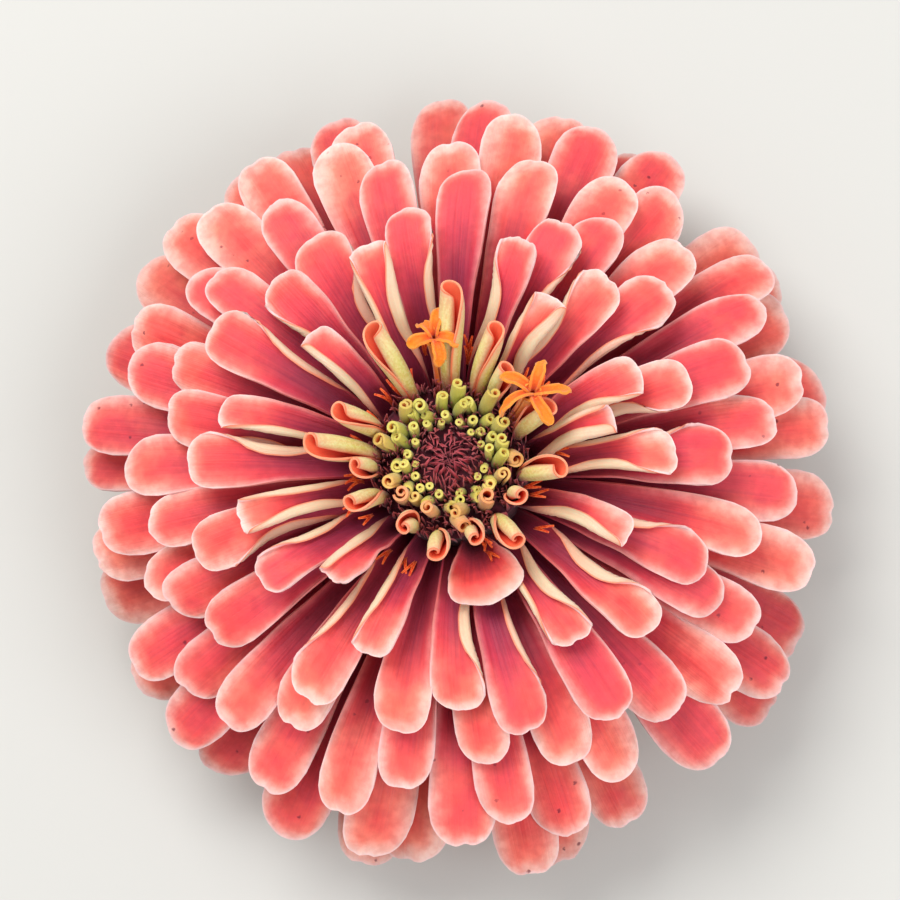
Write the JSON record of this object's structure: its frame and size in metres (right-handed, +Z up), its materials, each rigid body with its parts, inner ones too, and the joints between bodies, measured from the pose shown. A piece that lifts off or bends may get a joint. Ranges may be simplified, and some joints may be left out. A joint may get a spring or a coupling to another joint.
{
  "type": "zinnia flower",
  "caption": "Picked head of a double zinnia, coral petals in dense layers round a disc of rolled yellow-green florets, resting face up on its green cup.",
  "frame": {"origin": "middle of the flat cut end of the stalk, under the cup, where the head rests", "axes": "+Z up along the head's axis, out of its face; +Y towards the top of the picture"},
  "size_m": [0.1032, 0.1084, 0.0444],
  "materials": {
    "petals": "soft matt petal, coral face with a pale peach rim and a burgundy base",
    "young_florets": "matt yellow-green rolled florets with cream to peach rims",
    "chaff": "thin burgundy bracts",
    "green_bracts": "matt green bracts with thin dark margins",
    "disc_stars": "orange open disc florets and styles"
  },
  "bodies": {
    "root": {"ray_florets": "petals", "inner_florets": "young_florets", "chaff": "chaff", "involucre": "green_bracts"}
  },
  "joints": []
}
